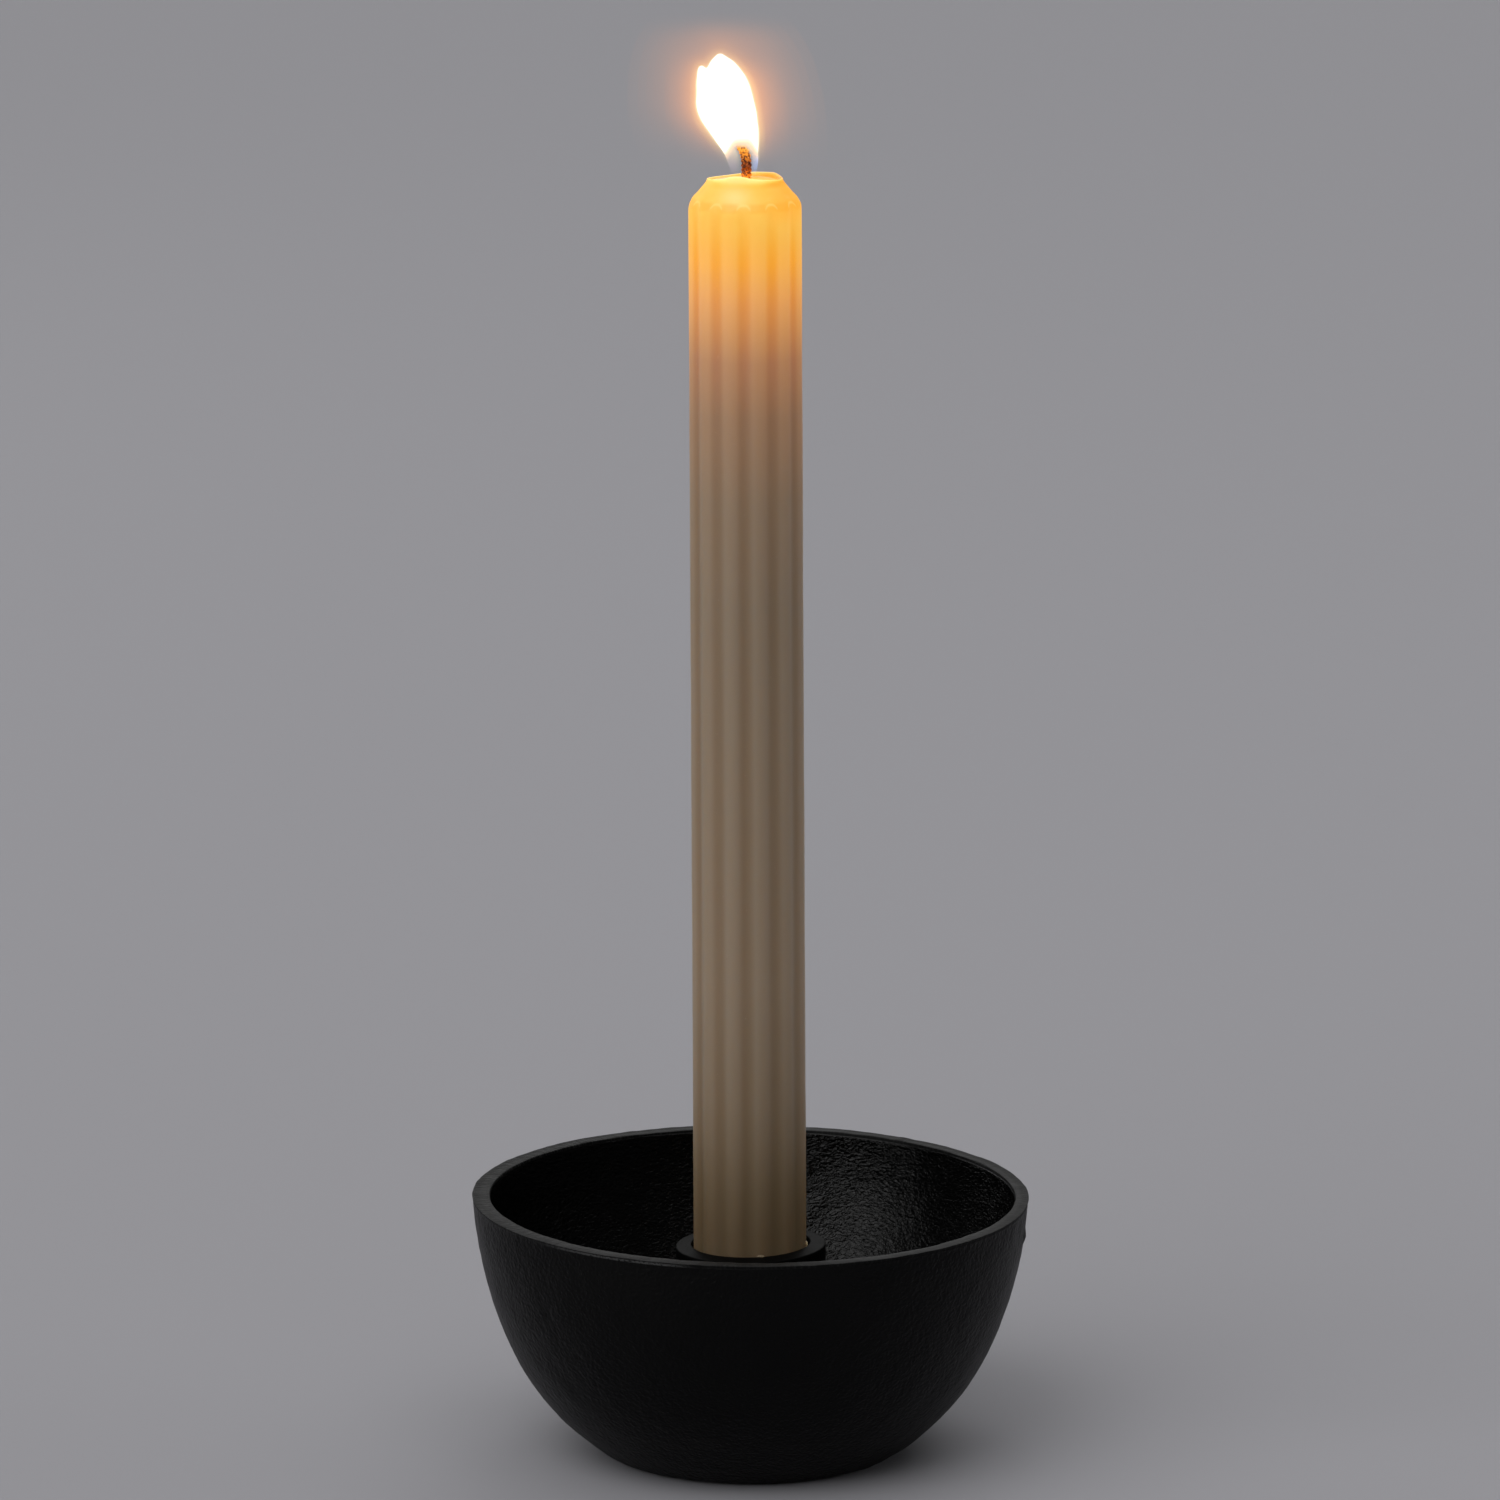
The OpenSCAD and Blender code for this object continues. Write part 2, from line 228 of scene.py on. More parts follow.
class Finish:
    """A material being made. Its patterns are laid out in millimetres, in the part's own frame."""

    def __init__(self, name):
        self.material = bpy.data.materials.new(name)
        self.material.use_nodes = True
        self.tree = self.material.node_tree
        self.shader = self.tree.nodes["Principled BSDF"]
        place = self.add("ShaderNodeTexCoord", out="Object")
        self.place = self.add("ShaderNodeVectorMath", {"operation": "SCALE"}, {0: place, "Scale": 1 / MM})
        split = self.add("ShaderNodeSeparateXYZ", {}, {0: self.place}).socket.node
        self.x, self.y, self.z = [Wire(self, split.outputs[axis]) for axis in "XYZ"]

    def add(self, kind, settings=None, sockets=None, out=0):
        """Adds a node of a kind, sets it, then gives its sockets their values or links."""
        node = self.tree.nodes.new(kind)
        for key, value in (settings or {}).items():
            if key == "stops":
                self.set_stops(node.color_ramp, value)
            elif key == "points":
                self.set_curve(node.mapping, value)
            else:
                setattr(node, key, value)
        self.feed(node, sockets or {})
        return Wire(self, node.outputs[out])

    def set_stops(self, ramp, stops):
        """Gives a colour ramp its stops, as (place, colour)."""
        while len(ramp.elements) < len(stops):
            ramp.elements.new(1)
        for element, (position, colour) in zip(ramp.elements, stops):
            element.position = position
            element.color = (*colour, 1)

    def set_curve(self, mapping, points):
        """Lays a curve node's curve through points."""
        curve = mapping.curves[0]
        curve.points[0].location, curve.points[-1].location = points[0], points[-1]
        for place in points[1:-1]:
            curve.points.new(*place)
        mapping.update()

    def feed(self, node, sockets):
        """Links wires to a node's sockets, and sets the others to plain values."""
        for key, value in sockets.items():
            if isinstance(value, Wire):
                self.tree.links.new(value.socket, node.inputs[key])
            elif isinstance(value, tuple) and len(value) == 3 and len(node.inputs[key].default_value) == 4:
                node.inputs[key].default_value = (*value, 1)
            else:
                node.inputs[key].default_value = value

    def give(self, **sockets):
        """Sets the shader's sockets, whose names have underscores for their spaces."""
        self.feed(self.shader, {key.replace("_", " "): value for key, value in sockets.items()})

    def overlay(self, mask, **sockets):
        """Lays a skin with a gloss of its own over the shader where the mask is 1."""
        sockets = {key.replace("_", " "): value for key, value in sockets.items()}
        skin = self.add("ShaderNodeBsdfPrincipled", {}, sockets)
        below = Wire(self, self.shader.outputs[0])
        both = self.add("ShaderNodeMixShader", {}, {0: mask, 1: below, 2: skin})
        self.tree.links.new(both.socket, self.tree.nodes["Material Output"].inputs["Surface"])

    def maths(self, operation, *values):
        """A Math node on values or wires."""
        return self.add("ShaderNodeMath", {"operation": operation}, dict(enumerate(values)))

    def stretched(self, stretch):
        """The place on the part, with a factor for each axis. A small factor makes long lumps."""
        return self.add("ShaderNodeVectorMath", {"operation": "MULTIPLY"}, {0: self.place, 1: stretch})

    def noise(self, size, detail=2.0, rough=0.5, twist=0.0, at=None):
        """Cloudy noise from 0 to 1 with lumps of this size."""
        sockets = {"Vector": at or self.place, "Scale": 1 / size, "Detail": detail,
                   "Roughness": rough, "Distortion": twist}
        return self.add("ShaderNodeTexNoise", {}, sockets)

    def cells(self, size, at=None):
        """Distance from the nearest of many scattered points, 0 at the points."""
        sockets = {"Vector": at or self.place, "Scale": 1 / size}
        return self.add("ShaderNodeTexVoronoi", {}, sockets, "Distance")

    def smooth(self, value, low, high):
        """Rises smoothly from 0 at low to 1 at high."""
        sockets = {"Value": value, "From Min": low, "From Max": high}
        return self.add("ShaderNodeMapRange", {"interpolation_type": "SMOOTHSTEP"}, sockets)

    def mix(self, mask, start, end):
        """The start colour where the mask is 0, and the end colour where it is 1."""
        return self.add("ShaderNodeMix", {"data_type": "RGBA"}, {0: mask, 6: start, 7: end}, 2)

    def dye(self, colour, other):
        """One colour multiplied by another."""
        settings = {"data_type": "RGBA", "blend_type": "MULTIPLY"}
        return self.add("ShaderNodeMix", settings, {0: 1.0, 6: colour, 7: other}, 2)

    def ramp(self, value, stops):
        """A colour read off a ramp at a value from 0 to 1."""
        return self.add("ShaderNodeValToRGB", {"stops": stops}, {0: value})

    def relief(self, height):
        """Bumps whose height is given in millimetres."""
        return self.add("ShaderNodeBump", {}, {"Strength": 1.0, "Distance": MM, "Height": height})

    def lean(self):
        """Measures from here on from the candle's own leaning middle."""
        self.x = self.x + (self.z - candle_z) * math.tan(CANDLE_LEAN)

    def turn(self):
        """Angle round the upright axis, in radians."""
        return self.maths("ARCTAN2", self.y, self.x)

    def reach(self):
        """Distance from the upright axis."""
        return self.maths("SQRT", self.x * self.x + self.y * self.y)


# Modelling by hand

def let_go():
    """Leaves edit mode and selects nothing, so that the next operator meets only its own piece."""
    if bpy.context.object and bpy.context.object.mode == "EDIT":
        bpy.ops.object.mode_set(mode="OBJECT")
    bpy.ops.object.select_all(action="DESELECT")


def take(piece):
    """Makes a piece the only selected one, and the active one."""
    let_go()
    piece.select_set(True)
    bpy.context.view_layer.objects.active = piece


def edit(piece):
    """Takes a piece into edit mode."""
    take(piece)
    bpy.ops.object.mode_set(mode="EDIT")


def named(piece, name):
    """Names a piece and its mesh."""
    piece.name = name
    piece.data.name = name
    return piece


def settle(piece):
    """Puts a piece's place, turn and size into its mesh."""
    take(piece)
    bpy.ops.object.transform_apply(location=True, rotation=True, scale=True)
    return piece


def pick(piece, wanted):
    """Selects the corners of a piece, in edit mode, for which wanted(corner) is true."""
    skin = bmesh.from_edit_mesh(piece.data)
    for corner in skin.verts:
        corner.select_set(wanted(corner))
    skin.select_flush(True)
    bmesh.update_edit_mesh(piece.data)


def close_up():
    """Merges the doubles of the piece in edit mode and turns its faces outwards."""
    bpy.ops.mesh.select_all(action="SELECT")
    bpy.ops.mesh.remove_doubles(threshold=0.002 * MM)
    bpy.ops.mesh.normals_make_consistent(inside=False)


def modify(piece, kind, **settings):
    """Adds a modifier of a kind, sets it and applies it."""
    take(piece)
    modifier = piece.modifiers.new(kind.lower(), kind)
    for key, value in settings.items():
        setattr(modifier, key, value)
    bpy.ops.object.modifier_apply(modifier=modifier.name)
    return piece


def cast_skin(piece, size, strength):
    """Raises and sinks a skin by lumps of a size."""
    clouds = bpy.data.textures.new(piece.name + "_lumps", "CLOUDS")
    clouds.noise_scale = size * MM
    return modify(piece, "DISPLACE", texture=clouds, texture_coords="LOCAL",
                  strength=strength * MM, mid_level=0.5)


def polish(piece, angle=40):
    """Shades a piece smooth, and leaves the edges sharp that turn more than an angle in degrees."""
    take(piece)
    bpy.ops.object.shade_smooth_by_angle(angle=math.radians(angle))
    let_go()
    return piece


def fit(piece, finish, body, slot, *nodes):
    """Gives a finished piece its material, and its place among the moving bodies."""
    piece.data.materials.clear()
    piece.data.materials.append(finish.material)
    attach(piece, body)
    if nodes:
        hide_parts(*nodes)


# Outlines, as points of (radius, height)

def spaced(points, step):
    """The same outline with points at most a step apart."""
    result = [points[0]]
    for start, end in zip(points, points[1:]):
        count = max(1, math.ceil(math.dist(start, end) / step))
        for i in range(1, count + 1):
            result.append(tuple(a + (b - a) * i / count for a, b in zip(start, end)))
    return result


def smoothed(points, count):
    """A soft curve through the points, with this many steps from each to the next."""
    ends = [points[0], *points, points[-1]]
    result = [points[0]]
    for before, start, end, after in zip(ends, ends[1:], ends[2:], ends[3:]):
        for i in range(1, count + 1):
            t = i / count
            result.append(tuple(
                0.5 * (2 * b + (c - a) * t + (2 * a - 5 * b + 4 * c - d) * t ** 2
                       + (3 * b - a - 3 * c + d) * t ** 3)
                for a, b, c, d in zip(before, start, end, after)))
    return result


def down(lean):
    """The way down along a wall that leans outwards by so many degrees."""
    return Vector((-math.sin(math.radians(lean)), -math.cos(math.radians(lean))))


def inward(lean):
    """The way square to such a wall, towards the middle of the bowl."""
    return Vector((-math.cos(math.radians(lean)), math.sin(math.radians(lean))))


def arc(start, lean, end, step):
    """Points of an arc that leaves its start down a wall with this lean, and the lean where it ends."""
    chord = end - start
    radius = chord.length_squared / (2 * chord.dot(inward(lean)))
    sweep = math.degrees(2 * math.asin(chord.length / (2 * radius)))
    middle = start + radius * inward(lean)
    count = math.ceil(radius * math.radians(sweep) / step)
    points = [tuple(middle - radius * inward(lean + sweep * i / count)) for i in range(count + 1)]
    return points, lean + sweep


def wall(top, top_lean, foot, foot_lean, step):
    """A wall of two arcs that meet smoothly, from its top down to its foot."""
    top, foot = Vector(top), Vector(foot)
    chord = foot - top
    along = down(top_lean) + down(foot_lean)
    spread = 2 * (1 - down(top_lean).dot(down(foot_lean)))
    reach = (math.sqrt(chord.dot(along) ** 2 + spread * chord.length_squared) - chord.dot(along)) / spread
    meeting = (top + foot + reach * (down(top_lean) - down(foot_lean))) / 2
    upper, lean = arc(top, top_lean, meeting, step)
    lower, _ = arc(meeting, lean, foot, step)
    return upper + lower[1:]


def rounded(corner, radius, start, end, count=5):
    """Points round a corner, from one angle in degrees to another."""
    angles = [math.radians(start + (end - start) * i / count) for i in range(count + 1)]
    return [(corner[0] + radius * math.cos(a), corner[1] + radius * math.sin(a)) for a in angles]


def spun(name, outline, around):
    """A skin made by drawing an outline corner by corner and turning it round the upright axis."""
    let_go()
    bpy.ops.mesh.primitive_plane_add(size=MM, location=(outline[0][0] * MM, 0, outline[0][1] * MM))
    piece = named(bpy.context.object, name)
    bpy.ops.object.mode_set(mode="EDIT")
    bpy.ops.mesh.merge(type="CENTER")
    for here, there in zip(outline, outline[1:]):
        step = ((there[0] - here[0]) * MM, 0, (there[1] - here[1]) * MM)
        bpy.ops.mesh.extrude_region_move(TRANSFORM_OT_translate={"value": step})
    let_go()
    settle(piece)
    modify(piece, "SCREW", steps=around, render_steps=around, angle=math.tau, axis="Z")
    edit(piece)
    close_up()
    return settle(piece)


def nudge(piece, place, move, size):
    """Pulls the skin at a place, and what lies near it, as a thumb would."""
    place = Vector(place) * MM
    edit(piece)
    skin = bmesh.from_edit_mesh(piece.data)
    nearest = min(skin.verts, key=lambda corner: (corner.co - place).length_squared).index
    pick(piece, lambda corner: corner.index == nearest)
    bpy.ops.transform.translate(value=[m * MM for m in move], use_proportional_edit=True,
                                proportional_edit_falloff="SMOOTH", proportional_size=size * MM)
    let_go()


# The bowl and what is under it

def bowl_walls():
    """The outer and inner walls of the bowl, from its rim down."""
    (out, low), (into, deep) = RIM_EDGE[0], RIM_EDGE[-1]
    return (wall((bowl_r - out, rim_z + low), RIM_LEAN, (FOOT_R, foot_z), FOOT_LEAN, BOWL_STEP),
            wall((bowl_r - into, rim_z + deep), RIM_LEAN, (FLOOR_R, floor_z), FLOOR_LEAN, BOWL_STEP))


def bowl():
    """The casting, spun from its outline, then made uneven as a sand mould leaves it."""
    rim = [(bowl_r - inwards, rim_z + up) for inwards, up in RIM_EDGE]
    seat_z = foot_z + SEAT_DEPTH
    seat_r = pad_r + SEAT_GAP
    recess_r = washer_r + RECESS_GAP
    outer, inner = bowl_walls()
    outline = [(SCREW_HOLE_R, floor_z), (SCREW_HOLE_R, recess_z), (recess_r, recess_z), (recess_r, seat_z),
               (seat_r, seat_z), (seat_r, foot_z), *reversed(outer), *rim[1:-1], *inner,
               (SCREW_HOLE_R, floor_z)]
    piece = spun("cast_bowl", spaced(outline, BOWL_STEP), BOWL_FACETS)
    shift_core(piece)
    slope(piece, RIM_RISE, RIM_TILT, foot_z, rim_z)
    cast_skin(piece, 7, 0.28)
    cast_skin(piece, 2.4, 0.13)
    for place, pull, size in FLAWS:
        nudge(piece, place, pull, size)
    return polish(piece)


def slope(piece, rise, tilt, low, high):
    """Raises a piece, more and more from one height to another, by a plane that isn't quite level."""
    for corner in piece.data.vertices:
        share = (corner.co.z / MM - low) / (high - low)
        if share > 0:
            corner.co.z += share * (rise * MM + tilt[0] * corner.co.x + tilt[1] * corner.co.y)


def shift_core(piece):
    """Moves the hollow a little to the right, as a mould's core that sat off centre leaves it."""
    edit(piece)
    bpy.ops.mesh.select_all(action="DESELECT")
    skin = bmesh.from_edit_mesh(piece.data)
    for face in skin.faces:
        middle = face.calc_center_median()
        out = Vector((middle.x, middle.y, 0))
        hollow = face.normal.dot(out.normalized()) < -0.1 and out.length > FLOOR_R * MM
        floor = face.normal.z > 0.9 and out.length < (FLOOR_R + 1) * MM and out.length > tube_r * MM
        if middle.z > (floor_z - 0.1) * MM and (hollow or floor):
            face.select_set(True)
    bmesh.update_edit_mesh(piece.data)
    bpy.ops.transform.translate(value=(CORE_SHIFT * MM, 0, 0))
    let_go()


def felt_pad():
    """The felt disc, with soft edges."""
    flat_r = pad_r - PAD_EDGE
    outline = [(0, pad_z), (flat_r, pad_z), *rounded((flat_r, pad_z + PAD_EDGE), PAD_EDGE, -90, 0)[1:],
               *rounded((flat_r, pad_top_z - PAD_EDGE), PAD_EDGE, 0, 90), (0, pad_top_z)]
    piece = spun("felt_disc", spaced(outline, PAD_STEP), PAD_FACETS)
    cast_skin(piece, 1.2, 0.12)
    return polish(piece, 60)


def tube():
    """The turned tube, with a bore for the candle above and a threaded hole below."""
    outer = tube_r - TUBE_ROUND
    inner = BORE_R + TUBE_ROUND
    top = tube_top_z - TUBE_ROUND
    outline = [(0, THREAD_TOP_Z), (THREAD_R, THREAD_TOP_Z), (THREAD_R, floor_z), (outer, floor_z),
               *rounded((outer, floor_z + TUBE_ROUND), TUBE_ROUND, -90, 0)[1:],
               *rounded((outer, top), TUBE_ROUND, 0, 90),
               *rounded((inner, top + TUBE_DOME), TUBE_ROUND, 90, 180),
               (BORE_R, BORE_FLOOR_Z), (0, BORE_FLOOR_Z)]
    piece = spun("candle_tube", spaced(outline, TUBE_STEP), TUBE_FACETS)
    slope(piece, TUBE_RISE, (TUBE_TILT, 0), floor_z, tube_top_z)
    return polish(piece, 35)


def wax_drops():
    """Two drops of wax that ran down the candle and set on the tube's top."""
    parts = []
    for x, y, width, depth, height in DROPS:
        z = tube_top_z + TUBE_DOME + TUBE_RISE + TUBE_TILT * x
        let_go()
        bpy.ops.mesh.primitive_ico_sphere_add(subdivisions=3, radius=MM, location=(x * MM, y * MM, z * MM))
        bpy.ops.transform.resize(value=(width, depth, height))
        parts.append(bpy.context.object)
    let_go()
    for part in parts:
        part.select_set(True)
    bpy.context.view_layer.objects.active = parts[0]
    bpy.ops.object.join()
    piece = settle(named(bpy.context.object, "wax_drops"))
    cast_skin(piece, 0.6, 0.12)
    return polish(piece, 80)


# The candle, its wick and its flame

def leaned(piece):
    """Leans a piece of the candle to the left about the middle of the candle's foot."""
    edit(piece)
    bpy.ops.mesh.select_all(action="SELECT")
    bpy.ops.transform.rotate(value=CANDLE_LEAN, orient_axis="Y", orient_type="GLOBAL",
                             center_override=(0, 0, candle_z * MM))
    let_go()
    return piece


shoulder = smoothed(SHOULDER, 4)
shoulder_by_height = [(z, r) for r, z in shoulder]
lip_by_angle = smoothed(LIP, 3)


def groove(angle):
    """Depth of the flutes at an angle round the candle."""
    turn = angle - FLUTE_TURN + math.pi / 2
    return FLUTE_DEPTH * ((1 + math.cos(FLUTES * turn)) / 2) ** FLUTE_POWER


def grow(rise, scale=1.0):
    """Draws the selected ring upwards and narrows it about the upright axis."""
    bpy.ops.mesh.extrude_region_move(TRANSFORM_OT_translate={"value": (0, 0, rise * MM)})
    if scale != 1:
        bpy.ops.transform.resize(value=(scale, scale, 1), center_override=(0, 0, 0))


def fluted_candle():
    """A fluted ring, drawn up to the mouth, melted at its shoulder, and drawn down again inside."""
    corners_a_flute = CANDLE_FACETS // FLUTES
    length = mouth_z - candle_z
    let_go()
    bpy.ops.mesh.primitive_circle_add(vertices=CANDLE_FACETS, radius=CREST_R * MM,
                                      location=(0, 0, candle_z * MM))
    piece = settle(named(bpy.context.object, "fluted_candle"))
    edit(piece)
    for index in range(corners_a_flute):
        pick(piece, lambda corner: facet_at(corner) % corners_a_flute == index)
        scale = 1 - groove(math.tau * index / CANDLE_FACETS) / CREST_R
        bpy.ops.transform.resize(value=(scale, scale, 1), center_override=(0, 0, 0))
    bpy.ops.mesh.select_all(action="SELECT")
    below = length + shoulder[0][1]
    heights = [below * (i + 1) / CANDLE_RINGS for i in range(CANDLE_RINGS)]
    heights += [length + z for r, z in shoulder[1:]]
    height = 0
    width = 1
    for there in heights:
        wide = 1 + (TAPER - 1) * there / length
        grow(there - height, wide / width)
        height, width = there, wide
    let_go()
    for corner in piece.data.vertices:
        melt(corner)
    edit(piece)
    pick(piece, lambda corner: corner.co.z > (mouth_z - 0.001) * MM)
    dish = smoothed(DISH, 4)
    for (r, z), (next_r, next_z) in zip(dish, dish[1:]):
        grow(next_z - z, next_r / r)
    grow(candle_z - mouth_z - dish[-1][1])
    pick(piece, lambda corner: corner.co.z < (candle_z + 0.001) * MM)
    bpy.ops.mesh.bridge_edge_loops()
    close_up()
    let_go()
    for corner in piece.data.vertices:
        sag(corner)
    cast_skin(piece, 14, 0.12)
    return leaned(polish(piece, 60))


def facet_at(corner):
    """Number of a corner of the candle's ring, counted round from +X."""
    return round(math.atan2(corner.co.y, corner.co.x) * CANDLE_FACETS / math.tau)


def blend_least(a, b, width):
    """The lesser of two values, with a soft change from one to the other."""
    near = max(width - abs(a - b), 0) / width
    return min(a, b) - near * near * width / 4


def between(points, value, key=0):
    """Reads one coordinate off a line through points that are in order of their other one, the key."""
    for here, there in zip(points, points[1:]):
        if value <= there[key]:
            start, end = here[1 - key], there[1 - key]
            return start + (end - start) * (value - here[key]) / (there[key] - here[key])
    return points[-1][1 - key]


def melt(corner):
    """Melts a corner of the candle back to the shoulder, and piles a little wax over the flutes' heads."""
    over = corner.co.z / MM - mouth_z
    if over < SHOULDER[0][1]:
        return
    out = math.hypot(corner.co.x, corner.co.y) / MM
    new = blend_least(out, between(shoulder_by_height, over), SHOULDER_BLEND)
    flute = groove(math.atan2(corner.co.y, corner.co.x)) / FLUTE_DEPTH
    for height, depth, spread in FLUTE_HEADS:
        new += height * flute * math.exp(-((over + depth) / spread) ** 2)
    corner.co.x *= new / out
    corner.co.y *= new / out


def sag(corner):
    """Lets the lip of the candle stand up and sag as it does round the mouth."""
    over = corner.co.z / MM - mouth_z
    out = math.hypot(corner.co.x, corner.co.y) / MM
    if over < -LIP_REACH or out < WICK_HOLE_R + 0.1:
        return
    share = 1 + over / (LIP_REACH if out > DISH[0][0] - 0.05 else LIP_REACH_INSIDE)
    if share > 0:
        angle = math.degrees(math.atan2(corner.co.y, corner.co.x))
        corner.co.z += share ** 1.2 * between(lip_by_angle, angle) * MM


def liquid_wax():
    """The pool round the wick, with a level top and a skin that follows the dish."""
    points = [*smoothed(POOL_TOP, 3), *smoothed(POOL_UNDER, 3), POOL_TOP[0]]
    outline = [(r, mouth_z + z) for r, z in points]
    return leaned(polish(spun("liquid_wax", outline, POOL_FACETS), 50))


def wick():
    """A braid of eight strands over a plain core, cut level at its tip."""
    spine = [(x, mouth_z + z) for x, z in smoothed(WICK_PATH, 16)]
    piece = wick_strands(spine)
    core = wick_core(spine)
    take(core)
    piece.select_set(True)
    bpy.context.view_layer.objects.active = piece
    bpy.ops.object.join()
    piece = settle(named(bpy.context.object, "braided_wick"))
    cut(piece, WICK_TOP, above=True)
    return leaned(polish(piece, 60))


def wick_strands(spine):
    """Four strands that wind one way round the spine, and four that wind the other way."""
    strands = bpy.data.curves.new("wick_strands", "CURVE")
    strands.dimensions = "3D"
    strands.bevel_depth = STRAND_R * MM
    strands.bevel_resolution = 2
    strands.use_fill_caps = True
    for hand in (1, -1):
        for strand in range(STRANDS_EACH_WAY):
            line = strands.splines.new("POLY")
            line.points.add(len(spine) - 2)
            for point, here, there in zip(line.points, spine, spine[1:]):
                ahead = Vector((there[0] - here[0], 0, there[1] - here[1])).normalized()
                side = Vector((ahead.z, 0, -ahead.x))
                swing = math.tau * here[1] / BRAID_PITCH
                turn = hand * swing + strand * math.tau / STRANDS_EACH_WAY
                swell = BRAID_SWELL * hand * math.cos(STRANDS_EACH_WAY * swing)
                out = WICK_R - STRAND_R - STRAND_OVERLAP + swell
                away = out * (math.cos(turn) * side + Vector((0, math.sin(turn), 0)))
                place = Vector((here[0], 0, here[1])) + away
                point.co = (*(place * MM), 1)
    piece = bpy.data.objects.new("wick_strands", strands)
    bpy.context.collection.objects.link(piece)
    take(piece)
    bpy.ops.object.convert(target="MESH")
    return bpy.context.object


def wick_core(spine):
    """The cotton inside the braid, which fills the whole hole in the wax."""
    core_r = WICK_R - 2 * STRAND_R + STRAND_OVERLAP
    let_go()
    bpy.ops.mesh.primitive_circle_add(vertices=24, radius=core_r * MM, fill_type="NGON",
                                      location=(0, 0, candle_z * MM))
    core = bpy.context.object
    bpy.ops.object.mode_set(mode="EDIT")
    grow(CORE_TAPER, WICK_R / core_r)
    grow(spine[0][1] - candle_z - 2 * CORE_TAPER)
    grow(2 * CORE_TAPER, core_r / WICK_R)
    for here, there in zip(spine[::4], spine[4::4]):
        move = ((there[0] - here[0]) * MM, 0, (there[1] - here[1]) * MM)
        bpy.ops.mesh.extrude_region_move(TRANSFORM_OT_translate={"value": move})
    bpy.ops.mesh.select_all(action="SELECT")
    bpy.ops.mesh.normals_make_consistent(inside=False)
    return settle(core)


def cut(piece, height, above):
    """Cuts a piece level at a height over the mouth, and closes the cut."""
    edit(piece)
    bpy.ops.mesh.select_all(action="SELECT")
    bpy.ops.mesh.bisect(plane_co=(0, 0, (mouth_z + height) * MM), plane_no=(0, 0, 1), use_fill=True,
                        clear_outer=above, clear_inner=not above)
    let_go()


def blown(name, rings):
    """A closed drop, drawn up ring by ring."""
    points = smoothed(rings, 4)
    x, z, half = points[0]
    let_go()
    bpy.ops.mesh.primitive_circle_add(vertices=FLAME_FACETS, radius=half * MM, fill_type="NGON",
                                      location=(x * MM, 0, (mouth_z + z) * MM))
    piece = named(bpy.context.object, name)
    bpy.ops.object.mode_set(mode="EDIT")
    for next_x, next_z, next_half in points[1:]:
        move = ((next_x - x) * MM, 0, (next_z - z) * MM)
        bpy.ops.mesh.extrude_region_move(TRANSFORM_OT_translate={"value": move})
        middle = (next_x * MM, 0, (mouth_z + next_z) * MM)
        scale = next_half / half
        bpy.ops.transform.resize(value=(scale, scale, 1), center_override=middle)
        x, z, half = next_x, next_z, next_half
    bpy.ops.mesh.select_all(action="SELECT")
    bpy.ops.transform.resize(value=(1, FLAME_DEPTH_SHARE, 1), center_override=(0, 0, 0))
    close_up()
    return settle(piece)


def melded(piece, voxel, rounds):
    """Melts the bodies of one piece into one smooth skin."""
    modify(piece, "REMESH", mode="VOXEL", voxel_size=voxel * MM)
    modify(piece, "SMOOTH", factor=0.5, iterations=rounds)
    return polish(piece, 180)


def flame_core():
    """The flame's body with the small tongue on its left, melted into one."""
    body = blown("flame_core", FLAME_BODY)
    tongue = blown("flame_tongue", FLAME_TONGUE)
    take(body)
    tongue.select_set(True)
    bpy.ops.object.join()
    return melded(body, FLAME_VOXEL, 5)


def glow_shells(core, name, distances, foot):
    """Closed skins round the flame's core, each at its own distance from it, as one piece."""
    shells = []
    for distance in distances:
        shell = core.copy()
        shell.data = core.data.copy()
        bpy.context.collection.objects.link(shell)
        modify(shell, "DISPLACE", strength=distance * MM, mid_level=0)
        coarser_outwards = 0.24 + 0.07 * distance
        melded(shell, coarser_outwards, 8)
        cut(shell, foot, above=False)
        if distance > WIDE_SHELL:
            cut(shell, GLOW_TOP, above=True)
        shells.append(shell)
    let_go()
    for shell in shells:
        shell.select_set(True)
    bpy.context.view_layer.objects.active = shells[0]
    bpy.ops.object.join()
    return polish(named(bpy.context.object, name), 180)


# Materials

